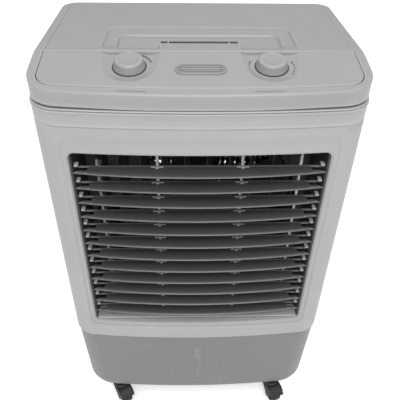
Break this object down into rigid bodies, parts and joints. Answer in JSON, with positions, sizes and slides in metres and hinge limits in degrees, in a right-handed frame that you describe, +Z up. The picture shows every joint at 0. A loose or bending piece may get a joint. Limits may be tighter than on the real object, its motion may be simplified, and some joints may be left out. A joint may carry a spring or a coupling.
{
  "type": "evaporative cooler",
  "caption": "Portable evaporative air cooler: louvred front outlet over a water tank, axial fan, rear wet pad, sloping control panel and swivel casters.",
  "frame": {"origin": "on the floor, under the middle of the cabinet's plan", "axes": "+Z up, +Y towards the rear pad, -Y out of the front grille, +X to the right of someone facing the front grille"},
  "size_m": [0.509, 0.3639, 0.8331],
  "materials": {
    "cover_plastic": "satin moulded plastic, fine grain",
    "frame_plastic": "satin moulded plastic, light grey",
    "tank_plastic": "satin moulded plastic, mid grey",
    "louvre_plastic": "satin moulded plastic, dark grey",
    "badge_plastic": "plain badge",
    "clear_plastic": "clear level window",
    "inner_plastic": "dark inner mouldings",
    "fan_plastic": "dark glass-filled plastic",
    "motor_metal": "painted motor can",
    "screw_steel": "zinc-plated steel",
    "pad_paper": "corrugated cellulose pad",
    "seal_rubber": "soft rubber",
    "caster_plastic": "black nylon",
    "wheel_rubber": "black tread"
  },
  "bodies": {
    "housing": {"top_cover": "cover_plastic", "control_panel": "cover_plastic", "badge_plate": "badge_plastic", "speed_switch": "inner_plastic", "function_switch": "inner_plastic", "upper_ring": "cover_plastic", "front_frame": "frame_plastic", "louvre_carrier": "louvre_plastic", "swing_motor": "motor_metal", "fan_shroud": "inner_plastic", "fan_motor": "motor_metal", "motor_bracket": "motor_metal", "cabinet_shell": "frame_plastic", "water_distributor": "inner_plastic", "water_pump": "inner_plastic", "riser_pipe": "inner_plastic", "water_tank": "tank_plastic", "level_window": "clear_plastic", "cord_gland": "seal_rubber", "case_screws": "screw_steel"},
    "fill_lid": {"fill_lid": "cover_plastic"},
    "function_knob": {"function_knob": "cover_plastic"},
    "speed_knob": {"speed_knob": "cover_plastic"},
    "slat_link": {"slat_link_bar": "louvre_plastic"},
    "vane_link": {"vane_link_bar": "louvre_plastic"},
    "swing_crank": {"swing_crank": "motor_metal"},
    "fan_rotor": {"fan_rotor": "fan_plastic"},
    "pad_cassette": {"rear_grille": "frame_plastic", "cooling_pad": "pad_paper"},
    "drain_plug": {"drain_plug": "seal_rubber"},
    "slat_01": {"slat_01": "louvre_plastic"},
    "slat_02": {"slat_02": "louvre_plastic"},
    "slat_03": {"slat_03": "louvre_plastic"},
    "slat_04": {"slat_04": "louvre_plastic"},
    "slat_05": {"slat_05": "louvre_plastic"},
    "slat_06": {"slat_06": "louvre_plastic"},
    "slat_07": {"slat_07": "louvre_plastic"},
    "slat_08": {"slat_08": "louvre_plastic"},
    "slat_09": {"slat_09": "louvre_plastic"},
    "slat_10": {"slat_10": "louvre_plastic"},
    "slat_11": {"slat_11": "louvre_plastic"},
    "slat_12": {"slat_12": "louvre_plastic"},
    "vane_01": {"vane_01": "louvre_plastic"},
    "vane_02": {"vane_02": "louvre_plastic"},
    "vane_03": {"vane_03": "louvre_plastic"},
    "vane_04": {"vane_04": "louvre_plastic"},
    "vane_05": {"vane_05": "louvre_plastic"},
    "vane_06": {"vane_06": "louvre_plastic"},
    "vane_07": {"vane_07": "louvre_plastic"},
    "vane_08": {"vane_08": "louvre_plastic"},
    "vane_09": {"vane_09": "louvre_plastic"},
    "vane_10": {"vane_10": "louvre_plastic"},
    "caster_front_left": {"caster_fork_front_left": "caster_plastic"},
    "wheel_front_left": {"caster_wheel_front_left": "wheel_rubber"},
    "caster_front_right": {"caster_fork_front_right": "caster_plastic"},
    "wheel_front_right": {"caster_wheel_front_right": "wheel_rubber"},
    "caster_rear_left": {"caster_fork_rear_left": "caster_plastic"},
    "wheel_rear_left": {"caster_wheel_rear_left": "wheel_rubber"},
    "caster_rear_right": {"caster_fork_rear_right": "caster_plastic"},
    "wheel_rear_right": {"caster_wheel_rear_right": "wheel_rubber"}
  },
  "joints": [
    {"name": "lid_hinge", "type": "hinge", "parent": "housing", "child": "fill_lid", "pos_m": [0, 0.156, 0.822], "axis": [-1, 0, 0], "range_deg": [0, 90]},
    {"name": "function_turn", "type": "hinge", "parent": "housing", "child": "function_knob", "pos_m": [-0.105, -0.10831, 0.81901], "axis": [0, -0.1942, 0.981], "range_deg": [-60, 60]},
    {"name": "speed_turn", "type": "hinge", "parent": "housing", "child": "speed_knob", "pos_m": [0.105, -0.10831, 0.81901], "axis": [0, -0.1942, 0.981], "range_deg": [-120, 120]},
    {"name": "slat_tilt_01", "type": "hinge", "parent": "housing", "child": "slat_01", "pos_m": [0, -0.15, 0.668], "axis": [1, 0, 0], "range_deg": [-36, 34]},
    {"name": "slat_tilt_02", "type": "hinge", "parent": "housing", "child": "slat_02", "pos_m": [0, -0.15, 0.63825], "axis": [1, 0, 0], "range_deg": [-36, 34]},
    {"name": "slat_tilt_03", "type": "hinge", "parent": "housing", "child": "slat_03", "pos_m": [0, -0.15, 0.6085], "axis": [1, 0, 0], "range_deg": [-36, 34]},
    {"name": "slat_tilt_04", "type": "hinge", "parent": "housing", "child": "slat_04", "pos_m": [0, -0.15, 0.57875], "axis": [1, 0, 0], "range_deg": [-36, 34]},
    {"name": "slat_tilt_05", "type": "hinge", "parent": "housing", "child": "slat_05", "pos_m": [0, -0.15, 0.549], "axis": [1, 0, 0], "range_deg": [-36, 34]},
    {"name": "slat_tilt_06", "type": "hinge", "parent": "housing", "child": "slat_06", "pos_m": [0, -0.15, 0.51925], "axis": [1, 0, 0], "range_deg": [-36, 34]},
    {"name": "slat_tilt_07", "type": "hinge", "parent": "housing", "child": "slat_07", "pos_m": [0, -0.15, 0.4895], "axis": [1, 0, 0], "range_deg": [-36, 34]},
    {"name": "slat_tilt_08", "type": "hinge", "parent": "housing", "child": "slat_08", "pos_m": [0, -0.15, 0.45975], "axis": [1, 0, 0], "range_deg": [-36, 34]},
    {"name": "slat_tilt_09", "type": "hinge", "parent": "housing", "child": "slat_09", "pos_m": [0, -0.15, 0.43], "axis": [1, 0, 0], "range_deg": [-36, 34]},
    {"name": "slat_tilt_10", "type": "hinge", "parent": "housing", "child": "slat_10", "pos_m": [0, -0.15, 0.40025], "axis": [1, 0, 0], "range_deg": [-36, 34]},
    {"name": "slat_tilt_11", "type": "hinge", "parent": "housing", "child": "slat_11", "pos_m": [0, -0.15, 0.3705], "axis": [1, 0, 0], "range_deg": [-36, 34]},
    {"name": "slat_tilt_12", "type": "hinge", "parent": "housing", "child": "slat_12", "pos_m": [0, -0.15, 0.34075], "axis": [1, 0, 0], "range_deg": [-36, 34]},
    {"name": "slat_link_pivot", "type": "hinge", "parent": "slat_01", "child": "slat_link", "pos_m": [-0.1645, -0.13822, 0.67029], "axis": [1, 0, 0], "range_deg": [-36, 36]},
    {"name": "vane_swing_01", "type": "hinge", "parent": "housing", "child": "vane_01", "pos_m": [-0.1647, -0.1, 0.51], "axis": [0, 0, 1], "range_deg": [-20, 50]},
    {"name": "vane_swing_02", "type": "hinge", "parent": "housing", "child": "vane_02", "pos_m": [-0.1281, -0.1, 0.51], "axis": [0, 0, 1], "range_deg": [-20, 50]},
    {"name": "vane_swing_03", "type": "hinge", "parent": "housing", "child": "vane_03", "pos_m": [-0.0915, -0.1, 0.51], "axis": [0, 0, 1], "range_deg": [-20, 50]},
    {"name": "vane_swing_04", "type": "hinge", "parent": "housing", "child": "vane_04", "pos_m": [-0.0549, -0.1, 0.51], "axis": [0, 0, 1], "range_deg": [-20, 50]},
    {"name": "vane_swing_05", "type": "hinge", "parent": "housing", "child": "vane_05", "pos_m": [-0.0183, -0.1, 0.51], "axis": [0, 0, 1], "range_deg": [-20, 50]},
    {"name": "vane_swing_06", "type": "hinge", "parent": "housing", "child": "vane_06", "pos_m": [0.0183, -0.1, 0.51], "axis": [0, 0, 1], "range_deg": [-20, 50]},
    {"name": "vane_swing_07", "type": "hinge", "parent": "housing", "child": "vane_07", "pos_m": [0.0549, -0.1, 0.51], "axis": [0, 0, 1], "range_deg": [-20, 50]},
    {"name": "vane_swing_08", "type": "hinge", "parent": "housing", "child": "vane_08", "pos_m": [0.0915, -0.1, 0.51], "axis": [0, 0, 1], "range_deg": [-20, 50]},
    {"name": "vane_swing_09", "type": "hinge", "parent": "housing", "child": "vane_09", "pos_m": [0.1281, -0.1, 0.51], "axis": [0, 0, 1], "range_deg": [-20, 50]},
    {"name": "vane_swing_10", "type": "hinge", "parent": "housing", "child": "vane_10", "pos_m": [0.1647, -0.1, 0.51], "axis": [0, 0, 1], "range_deg": [-20, 50]},
    {"name": "vane_link_pivot", "type": "hinge", "parent": "vane_01", "child": "vane_link", "pos_m": [-0.16056, -0.08454, 0.313], "axis": [0, 0, 1], "range_deg": [-50, 20]},
    {"name": "crank_turn", "type": "hinge", "parent": "housing", "child": "swing_crank", "pos_m": [0, -0.1, 0.308], "axis": [0, 0, 1], "range_deg": [-20, 50]},
    {"name": "fan_spin", "type": "hinge", "parent": "housing", "child": "fan_rotor", "pos_m": [0, -0.025, 0.51], "axis": [0, 1, 0], "continuous": true},
    {"name": "cassette_slide", "type": "slide", "parent": "housing", "child": "pad_cassette", "axis": [0, 1, 0], "range_m": [0, 0.08]},
    {"name": "drain_pull", "type": "slide", "parent": "housing", "child": "drain_plug", "axis": [0, 1, 0], "range_m": [0, 0.03]},
    {"name": "swivel_front_left", "type": "hinge", "parent": "housing", "child": "caster_front_left", "pos_m": [-0.178, -0.14, 0.055], "axis": [0, 0, 1], "continuous": true},
    {"name": "roll_front_left", "type": "hinge", "parent": "caster_front_left", "child": "wheel_front_left", "pos_m": [-0.17005, -0.15272, 0.021], "axis": [-0.848, -0.5299, 0], "continuous": true},
    {"name": "swivel_front_right", "type": "hinge", "parent": "housing", "child": "caster_front_right", "pos_m": [0.178, -0.14, 0.055], "axis": [0, 0, 1], "continuous": true},
    {"name": "roll_front_right", "type": "hinge", "parent": "caster_front_right", "child": "wheel_front_right", "pos_m": [0.18313, -0.1541, 0.021], "axis": [-0.9397, -0.342, 0], "continuous": true},
    {"name": "swivel_rear_left", "type": "hinge", "parent": "housing", "child": "caster_rear_left", "pos_m": [-0.178, 0.14, 0.055], "axis": [0, 0, 1], "continuous": true},
    {"name": "roll_rear_left", "type": "hinge", "parent": "caster_rear_left", "child": "wheel_rear_left", "pos_m": [-0.18434, 0.1536, 0.021], "axis": [0.9063, 0.4226, 0], "continuous": true},
    {"name": "swivel_rear_right", "type": "hinge", "parent": "housing", "child": "caster_rear_right", "pos_m": [0.178, 0.14, 0.055], "axis": [0, 0, 1], "continuous": true},
    {"name": "roll_rear_right", "type": "hinge", "parent": "caster_rear_right", "child": "wheel_rear_right", "pos_m": [0.18313, 0.1541, 0.021], "axis": [0.9397, -0.342, 0], "continuous": true}
  ],
  "couplings": [
    {"joint": "slat_tilt_02", "follows": "slat_tilt_01", "ratio": 1},
    {"joint": "slat_tilt_03", "follows": "slat_tilt_01", "ratio": 1},
    {"joint": "slat_tilt_04", "follows": "slat_tilt_01", "ratio": 1},
    {"joint": "slat_tilt_05", "follows": "slat_tilt_01", "ratio": 1},
    {"joint": "slat_tilt_06", "follows": "slat_tilt_01", "ratio": 1},
    {"joint": "slat_tilt_07", "follows": "slat_tilt_01", "ratio": 1},
    {"joint": "slat_tilt_08", "follows": "slat_tilt_01", "ratio": 1},
    {"joint": "slat_tilt_09", "follows": "slat_tilt_01", "ratio": 1},
    {"joint": "slat_tilt_10", "follows": "slat_tilt_01", "ratio": 1},
    {"joint": "slat_tilt_11", "follows": "slat_tilt_01", "ratio": 1},
    {"joint": "slat_tilt_12", "follows": "slat_tilt_01", "ratio": 1},
    {"joint": "slat_link_pivot", "follows": "slat_tilt_01", "ratio": -1},
    {"joint": "vane_swing_02", "follows": "vane_swing_01", "ratio": 1},
    {"joint": "vane_swing_03", "follows": "vane_swing_01", "ratio": 1},
    {"joint": "vane_swing_04", "follows": "vane_swing_01", "ratio": 1},
    {"joint": "vane_swing_05", "follows": "vane_swing_01", "ratio": 1},
    {"joint": "vane_swing_06", "follows": "vane_swing_01", "ratio": 1},
    {"joint": "vane_swing_07", "follows": "vane_swing_01", "ratio": 1},
    {"joint": "vane_swing_08", "follows": "vane_swing_01", "ratio": 1},
    {"joint": "vane_swing_09", "follows": "vane_swing_01", "ratio": 1},
    {"joint": "vane_swing_10", "follows": "vane_swing_01", "ratio": 1},
    {"joint": "vane_link_pivot", "follows": "vane_swing_01", "ratio": -1},
    {"joint": "crank_turn", "follows": "vane_swing_01", "ratio": 1}
  ]
}
